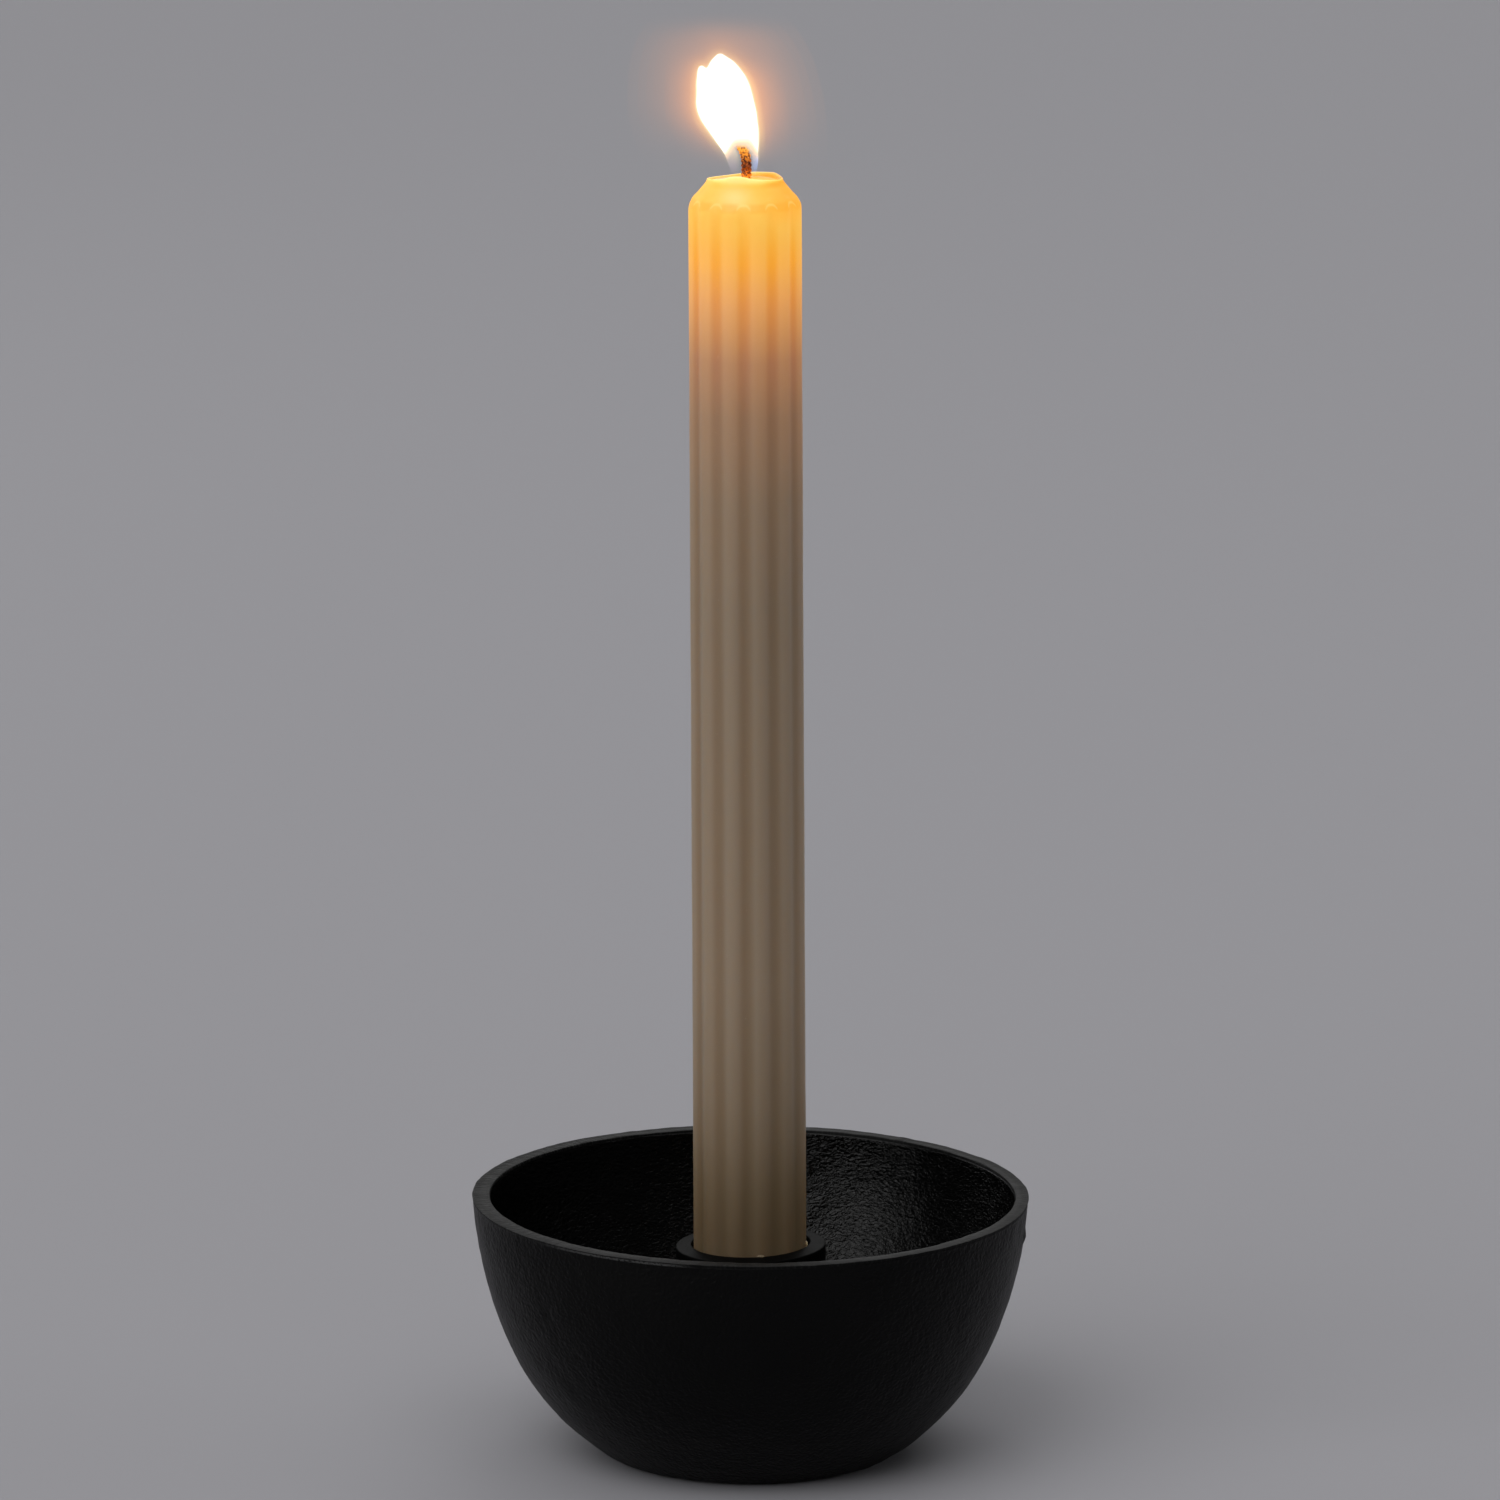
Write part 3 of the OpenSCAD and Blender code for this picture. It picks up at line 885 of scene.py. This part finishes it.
def cast_black():
    """Black paint over a sand casting: pebbles outside, orange peel inside, and a worn, scored rim. The
    hollow side is darker as painted shade, and burrs on the rim's outer edge at the front left carry a
    painted highlight.
    """
    f = Finish("cast_black")
    patches = f.noise(14, 2)
    inside = hollow_side(f)
    under_rim = rim_z + RIM_RISE - f.z + f.x * RIM_TILT[0] + f.y * RIM_TILT[1]
    on_rim = f.smooth(under_rim, 0.75, 0.4)
    pebbles = f.noise(1.0, 2, 0.55, 0.4)
    pits = f.cells(0.8)
    peel = f.noise(0.68, 2, 0.45, 0.7, f.stretched((0.75, 0.75, 1.4)))
    creases = 1 - abs(f.noise(1.45, 2, 0.5, 0.8, f.stretched((0.75, 0.75, 1.5))) * 2 - 1)
    grit = f.noise(0.4, 2)
    # The rim is scored across, and most of all on the left
    scored_at = f.add("ShaderNodeCombineXYZ", {}, {0: f.turn() * 78, 1: f.reach() * 0.3, 2: 0.0})
    scores = f.noise(1, 3, 0.6, 0.3, scored_at)
    worn = on_rim * f.smooth(scores, 0.45, 0.70) * (0.4 + f.smooth(f.x, -25, -48) * 0.6)
    # Painted highlight on burrs along the outer edge, at the front left
    painted_burr_highlight = f.smooth(under_rim, 0.12, 0.3) * f.smooth(under_rim, 0.75, 0.5) * f.smooth(grit, 0.35, 0.5)
    painted_burr_highlight = painted_burr_highlight * f.smooth(f.reach(), bowl_r - 0.8, bowl_r - 0.4)
    painted_burr_highlight = painted_burr_highlight * f.smooth(f.turn(), -2.45, -2.2) * f.smooth(f.turn(), -1.75, -1.9)
    colour = f.mix(patches, (0.0011, 0.0011, 0.0011), (0.0026, 0.0025, 0.0025))
    # Painted shade: the hollow side is darker than the outside
    colour = f.mix(inside, colour, (0.0006, 0.0006, 0.0006))
    colour = f.mix(worn, colour, (0.024, 0.024, 0.024))
    # Painted highlight on the burrs
    colour = f.mix(painted_burr_highlight, colour, (0.055, 0.055, 0.055))
    height = (pebbles * 0.26 + pits * 0.08 + grit * 0.02) * (1 - inside)
    height = height + (peel * 0.20 + creases * 0.105) * inside
    height = height * (1 - on_rim * 0.8) + scores * on_rim * (0.07 + f.smooth(f.x, -18, -44) * 0.30)
    bumps = f.relief(height)
    rough = 0.34 + patches * 0.10 + grit * 0.06 - inside * 0.06 + on_rim * 0.14
    f.give(Base_Color=colour, Roughness=rough, Normal=bumps, Specular_IOR_Level=0.09)
    # The glossier skin of the hollow side has the same darker colour, as painted shade
    f.overlay(inside * (1 - on_rim), Base_Color=(0.0006, 0.0006, 0.0006),
              Roughness=0.14 + patches * 0.06, Normal=bumps, Specular_IOR_Level=0.23)
    return f


def hollow_side(f):
    """1 on the hollow side of the bowl's wall and 0 on its outside, parted half way through the wall."""
    outer, inner = [side[::-1] for side in bowl_walls()]
    span = 60
    middle = []
    for z in range(6, 50, 4):
        radius = (between(outer, z, 1) + between(inner, z, 1)) / 2
        middle.append((z / span, radius / span))
    radius = f.add("ShaderNodeFloatCurve", {"points": middle}, {"Value": f.z / span}) * span
    return f.smooth(radius - f.reach(), -0.4, 0.4) * f.smooth(f.z, floor_z - 1, floor_z)


def turned_black():
    """Thin black paint on a turned tube, with faint rings from the tool."""
    f = Finish("turned_black")
    turned_at = f.add("ShaderNodeCombineXYZ", {}, {0: f.reach(), 1: f.z, 2: 0.0})
    rings = f.noise(0.35, 3, 0.6, 0, turned_at)
    dust = f.noise(3, 3)
    f.give(Base_Color=f.mix(dust, (0.0009, 0.0009, 0.0009), (0.0022, 0.0022, 0.0021)),
           Roughness=0.46 + dust * 0.12, Normal=f.relief(rings * 0.012 + dust * 0.02),
           Specular_IOR_Level=0.03)
    return f


def zinc():
    """Zinc on the screw and its washer, dull and slightly blotched."""
    f = Finish("zinc_steel")
    blotches = f.noise(1.3, 3)
    brushed = f.noise(0.25, 2, 0.5, 0, f.stretched((1.0, 1.0, 0.1)))
    f.give(Base_Color=f.mix(blotches, (0.44, 0.45, 0.47), (0.62, 0.63, 0.64)), Metallic=1.0,
           Roughness=0.28 + blotches * 0.2, Normal=f.relief(brushed * 0.01))
    return f


def felt():
    """Black felt with a loose nap."""
    f = Finish("felt")
    fibres = f.noise(0.5, 4, 0.7, 1.2)
    f.give(Base_Color=f.mix(fibres, (0.012, 0.012, 0.013), (0.040, 0.040, 0.042)), Roughness=0.95,
           Normal=f.relief(fibres * 0.2), Sheen_Weight=0.25, Specular_IOR_Level=0.1)
    return f


def wax():
    """Fluted wax: tan below, browner in the flutes as painted shade, and glowing from the flame at the
    top.
    """
    f = Finish("wax")
    f.lean()
    depth = mouth_z - f.z
    # The crests run on over the heads of the flutes, which end in arches
    wave = 0.5 - f.maths("COSINE", (f.turn() + (math.pi / 2 - FLUTE_TURN)) * FLUTES) * 0.5
    ridge = f.smooth(wave, 0.0, 0.7)
    arch = depth - ridge * 1.1
    crest = 1 - (1 - ridge) * f.smooth(arch, 3.95, 4.5)
    cloudy = f.noise(9, 2, 0.5, 0, f.stretched((1.0, 1.0, 0.35)))
    mottle = f.noise(3.2, 2, 0.5)
    dimples = f.noise(2.2, 2)
    f.give(Base_Color=tan_wax(f, depth, crest, cloudy), Emission_Strength=1.0,
           Emission_Color=lit_wax(f, depth, crest, ridge, arch, mottle), Roughness=0.42 + cloudy * 0.1,
           Normal=f.relief(dimples * 0.03 + mottle * 0.05), Specular_IOR_Level=0.45,
           Subsurface_Weight=0.85, Subsurface_Radius=(1.0, 0.65, 0.4), Subsurface_Scale=12 * MM)
    return f


def tan_wax(f, depth, crest, cloudy):
    """The wax's colour, with painted shade and light: browner in the flutes, darker low down, where the
    bowl shades it, and orange-brown at the top, where the flame lights it.
    """
    specks = f.smooth(f.noise(0.7, 1), 0.70, 0.80)
    # Painted shade: the flutes are browner than the crests
    tan = f.mix(crest, (0.278, 0.190, 0.114), (0.314, 0.246, 0.177))
    tan = f.mix(cloudy * 0.3, tan, (0.296, 0.217, 0.145))
    tan = f.mix(specks * 0.25, tan, (0.36, 0.28, 0.20))
    # Painted flame light: the wax turns orange-brown towards the top
    tan = f.mix(f.smooth(depth, 24, 4), tan, (0.30, 0.14, 0.03))
    # Painted shade: darker low down, where the bowl shades the candle
    shade = f.ramp(f.z / 100, [(0.38, (0.34, 0.30, 0.22)), (0.44, (0.39, 0.35, 0.26)),
                               (0.52, (0.53, 0.50, 0.41)), (0.61, (0.71, 0.69, 0.63)),
                               (0.70, (0.86, 0.85, 0.82)), (0.92, (1, 1, 1))])
    return f.dye(tan, shade)


def lit_wax(f, depth, crest, ridge, arch, mottle):
    """The flame's light inside the wax. It fades down the candle, and is deeper on the right."""
    share = depth / 80
    on_crests = f.ramp(share, [(0.0, (0.84, 0.50, 0.055)), (0.07, (0.82, 0.46, 0.06)),
                               (0.19, (0.80, 0.355, 0.034)), (0.28, (0.62, 0.24, 0.03)),
                               (0.42, (0.27, 0.095, 0.02)), (0.55, (0.13, 0.05, 0.014)),
                               (0.75, (0.045, 0.022, 0.009)), (1.0, (0.015, 0.010, 0.006))])
    in_flutes = f.ramp(share, [(0.0, (0.82, 0.46, 0.06)), (0.07, (0.82, 0.43, 0.045)),
                               (0.19, (0.80, 0.30, 0.0)), (0.28, (0.60, 0.195, 0.012)),
                               (0.42, (0.25, 0.08, 0.025)), (0.55, (0.11, 0.045, 0.018)),
                               (0.75, (0.042, 0.024, 0.012)), (1.0, (0.015, 0.012, 0.007))])
    glow = f.mix(crest, in_flutes, on_crests)
    glow = f.mix(mottle * f.smooth(depth, 14, 2) * 0.5, glow, (0.90, 0.62, 0.14))
    # Painted light: a pale patch on the front of the shoulder, left of the middle
    off_spot = ((f.x + 2.0) / 1.7) ** 2 + (depth - 2.8) ** 2
    spot = f.maths("EXPONENT", off_spot / -2.4) * f.smooth(f.y, 0, -3)
    glow = f.mix(spot * 0.5, glow, (0.98, 0.74, 0.32))
    lip = f.smooth(f.reach(), 6.7, 7.1) * (1 - f.smooth(depth, -0.3, 0.9))
    glow = f.mix(lip, glow, (0.92, 0.59, 0.20))
    dish = (1 - f.smooth(f.reach(), 6.3, 6.95)) * (1 - f.smooth(depth, 2, 3))
    glow = f.mix(dish, glow, (0.84, 0.32, 0.03))
    glow = f.mix(f.smooth(f.x, 1, 8.5) * f.smooth(depth, 10, 3) * 0.8, glow, (0.93, 0.37, 0.02))
    glow = f.mix(dish * f.smooth(f.x, 1.5, 4.5), glow, (0.74, 0.22, 0.0))
    right_lip = f.smooth(f.x, 2.5, 5.5) * f.smooth(depth, 1.6, 0.6)
    glow = f.mix(right_lip * 0.5, glow, (0.80, 0.30, 0.01))
    # Painted shade: the glow is deeper where the crests run over the flutes' heads
    crest_heads = ridge * f.smooth(depth, 3.4, 4.3) * f.smooth(depth, 5.9, 4.8)
    glow = f.mix(crest_heads * 0.45, glow, (0.86, 0.34, 0.015))
    # Painted highlight: pale arches over the heads of the flutes
    flute_heads = f.smooth(arch, 3.65, 3.95) * f.smooth(arch, 4.4, 4.05) * f.smooth(ridge, 0.9, 0.5)
    return f.mix(flute_heads * 0.4, glow, (0.97, 0.64, 0.20))


def molten_wax():
    """Clear, shiny melted wax, lit through by the flame."""
    f = Finish("molten_wax")
    streaks = f.noise(2.5, 2, 0.5, 0.5)
    f.give(Base_Color=f.mix(streaks, (0.40, 0.16, 0.02), (0.50, 0.24, 0.05)),
           Emission_Color=f.mix(streaks, (0.80, 0.27, 0.06), (0.92, 0.445, 0.145)), Emission_Strength=1.0,
           Roughness=0.10 + streaks * 0.05, Normal=f.relief(streaks * 0.02), Coat_Weight=0.3,
           Coat_Roughness=0.05)
    return f


def cotton():
    """A burning wick: soaked at its foot, charred over that, and glowing at its tip. Its glow is painted
    flame light with the ember at the tip, orange at its foot, and darker between the strands as painted
    shade.
    """
    f = Finish("wick_cotton")
    f.lean()
    over = f.z - mouth_z
    fibres = f.noise(0.22, 3, 0.7)
    ragged = over + (fibres - 0.5) * 1.8
    share = (ragged + 1) / 8
    char = f.ramp(share, [(0.0, (0.45, 0.20, 0.03)), (0.20, (0.30, 0.10, 0.02)),
                          (0.33, (0.04, 0.012, 0.006)), (0.52, (0.03, 0.012, 0.008)),
                          (0.66, (0.20, 0.08, 0.015)), (1.0, (0.35, 0.18, 0.03))])
    # Painted flame light, orange at the foot, with the ember's glow at the tip
    ember_and_flame_light = f.ramp(share, [(0.0, (0.95, 0.36, 0.02)), (0.17, (0.80, 0.22, 0.01)),
                           (0.30, (0.32, 0.055, 0.003)), (0.37, (0.20, 0.035, 0.003)),
                           (0.48, (0.30, 0.07, 0.01)), (0.60, (0.58, 0.19, 0.02)),
                           (0.74, (0.82, 0.31, 0.03)), (1.0, (0.90, 0.42, 0.06))])
    # Painted shade between the strands of the braid, and painted light on them
    climb = over * (2 * math.tau / BRAID_PITCH * STRANDS_EACH_WAY)
    lay = f.maths("SINE", f.turn() * STRANDS_EACH_WAY + climb)
    cross = f.maths("SINE", f.turn() * STRANDS_EACH_WAY - climb)
    painted_braid_shading = f.smooth(f.noise(0.46, 2, 0.5, 0, f.stretched((1, 1, 0.8))) + lay * cross * 0.06, 0.43, 0.60)
    ember_and_flame_light = f.dye(ember_and_flame_light, f.mix(painted_braid_shading, (0.16, 0.08, 0.05), (1.3, 1.2, 1.0)))
    below = f.smooth(over, -4.0, -2.0)
    f.give(Base_Color=f.mix(below, (0.55, 0.50, 0.42), char), Emission_Color=ember_and_flame_light, Emission_Strength=1.0,
           Roughness=0.85, Normal=f.relief(fibres * 0.08))
    return f


def over_wick(f, soft):
    """1 in front of the wick and behind it, and 0 beside it and over its tip."""
    over = f.z - mouth_z
    bend = f.maths("MAXIMUM", over - 3, 0) / 2.7
    aside = abs(f.x - 0.3 + bend * bend)
    return (1 - f.smooth(aside, 0.85, 0.85 + soft)) * (1 - f.smooth(over, 5.8, 5.8 + soft * 1.2))


def flame_light():
    """The bright body of the flame. It reaches lower beside the wick, and is blue at its foot."""
    f = Finish("flame_light")
    f.lean()
    over = f.z - mouth_z
    lag = f.maths("EXPONENT", ((f.x + 0.5) / 2.6) ** 4 * -1) * 3.0
    bright = f.smooth(over - lag, 1.5, 5.4)
    blue = f.smooth(abs(f.x), 0.8, 2.0) * f.smooth(over, 0.2, 2.4) * (0.05 + f.smooth(f.x, -1, 1) * 0.06)
    clear = 1 - (1 - bright) ** 0.8 * (1 - blue)
    colour = f.ramp(bright, [(0.0, (0.62, 0.50, 0.60)), (0.12, (0.58, 0.43, 0.42)),
                             (0.35, (0.62, 0.42, 0.31)), (0.70, (0.60, 0.48, 0.36)),
                             (0.88, (0.85, 0.78, 0.62)), (1.0, (1.0, 1.0, 0.97))])
    colour = f.mix(f.smooth(f.x, 0.4, 1.6) * f.smooth(over, 4.5, 2.5), colour, (0.34, 0.50, 0.95))
    f.give(Base_Color=(0.0, 0.0, 0.0), Emission_Color=colour, Emission_Strength=2.0,
           Alpha=clear * (1 - over_wick(f, 0.35) * 0.97), Roughness=1.0, Specular_IOR_Level=0.0)
    return f


def glow(name, colour, strength, veil, foot, full, left, crown):
    """Thin light round the flame. It fades to its foot, over the tip, and to the left."""
    f = Finish(name)
    f.lean()
    over = f.z - mouth_z
    fade = f.smooth(over, foot, full) * f.smooth(over, GLOW_TOP, 26)
    fade = fade * (1 - f.smooth(over, 17, 24) * crown) * (1 - f.smooth(f.x, -7, -13) * left)
    flicker = 0.85 + f.noise(5, 1) * 0.3
    f.give(Base_Color=(0.0, 0.0, 0.0), Emission_Color=colour, Emission_Strength=strength,
           Alpha=flicker * fade * (1 - over_wick(f, 0.7)) * veil, Roughness=1.0, Specular_IOR_Level=0.0)
    return f


# The studio

def studio():
    """A wide grey floor, a dim room, and the lamps."""
    let_go()
    bpy.ops.mesh.primitive_plane_add(size=FLOOR_SIZE, location=(0, 0, 0))
    floor = named(bpy.context.object, "floor")
    f = Finish("floor_grey")
    f.give(Base_Color=(0.334, 0.330, 0.352), Roughness=0.9, Specular_IOR_Level=0.1)
    floor.data.materials.append(f.material)
    world = bpy.data.worlds.new("studio")
    bpy.context.scene.world = world
    world.use_nodes = True
    backdrop = world.node_tree.nodes["Background"]
    backdrop.inputs["Color"].default_value = (0.07, 0.07, 0.07, 1)
    backdrop.inputs["Strength"].default_value = 1
    softbox("front_left", turn=52, height=16, distance=1.9, size=(1.8, 0.45), power=4)
    softbox("back_left", turn=135, height=20, distance=1.8, size=(0.9, 0.9), power=2)
    right = softbox("right", turn=270, height=13, distance=1.8, size=(0.9, 0.5), power=3)
    right.visible_glossy = False
    skylight("key", turn=45, height=45, power=1.06)
    skylight("front", turn=0, height=60, power=0.73)
    skylight("back_left", turn=135, height=60, power=0.18)
    skylight("back", turn=180, height=35, power=0.64)
    skylight("back_right", turn=225, height=60, power=0.38)


def towards(turn, height):
    """The way to a lamp that stands so many degrees round to the left of the camera, and so high."""
    turn, height = math.radians(turn), math.radians(height)
    flat = math.cos(height)
    return Vector((-math.sin(turn) * flat, -math.cos(turn) * flat, math.sin(height)))


def softbox(name, turn, height, distance, size, power):
    """A rectangular lamp that faces the bowl, with its distance and size in metres."""
    light = bpy.data.lights.new("softbox_" + name, "AREA")
    light.shape = "RECTANGLE"
    light.size, light.size_y = size
    light.energy = power
    return hang(light, towards(turn, height), distance)


def skylight(name, turn, height, power):
    """A wide soft light from far away, which reaches the whole floor alike."""
    light = bpy.data.lights.new("skylight_" + name, "SUN")
    light.angle = SKY_SPREAD
    light.energy = power
    hang(light, towards(turn, height), SKY_DISTANCE)


def hang(light, way, distance):
    """Puts a light up, aimed at the bowl, where the camera doesn't see it."""
    lamp = bpy.data.objects.new(light.name, light)
    lamp.location = way * distance + Vector((0, 0, LAMP_AIM))
    lamp.rotation_euler = (-way).to_track_quat("-Z", "Y").to_euler()
    lamp.visible_camera = False
    bpy.context.collection.objects.link(lamp)
    return lamp


def camera():
    """The camera, where the photo's own camera stood."""
    lens = bpy.data.cameras.new("view")
    lens.lens = LENS
    eye = bpy.data.objects.new("view", lens)
    eye.location = Vector(EYE) * MM
    eye.rotation_euler = (math.pi / 2 - LOOK_DOWN, 0, 0)
    bpy.context.collection.objects.link(eye)
    bpy.context.scene.camera = eye


camera()
studio()
bpy.context.scene.view_settings.view_transform = "Standard"
bpy.context.scene.cycles.transparent_max_bounces = MOST_VEILS_IN_LINE

wax_finish = wax()
fit(bowl(), cast_black(), "holder", "cast_black", "bowl")
fit(tube(), turned_black(), "holder", "turned_black", "socket")
fit(felt_pad(), felt(), "holder", "felt", "foot_pad")
fit(wax_drops(), wax_finish, "holder", "wax")
steel = zinc()
for node in ("socket_screw", "screw_washer"):
    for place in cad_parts[node].material_slots:
        place.material = steel.material

fit(fluted_candle(), wax_finish, "lit_candle", "wax", "candle")
fit(liquid_wax(), molten_wax(), "lit_candle", "molten_wax", "wax_pool")
fit(wick(), cotton(), "lit_candle", "cotton", "wick")
core = flame_core()
for name, colour, strength, veil, distances, foot, full, left, crown in VEILS:
    shells = leaned(glow_shells(core, name, distances, foot))
    finish = glow(name, colour, strength, veil, foot, full, left, crown)
    fit(shells, finish, "lit_candle", "flame")
fit(leaned(core), flame_light(), "lit_candle", "flame", "flame")
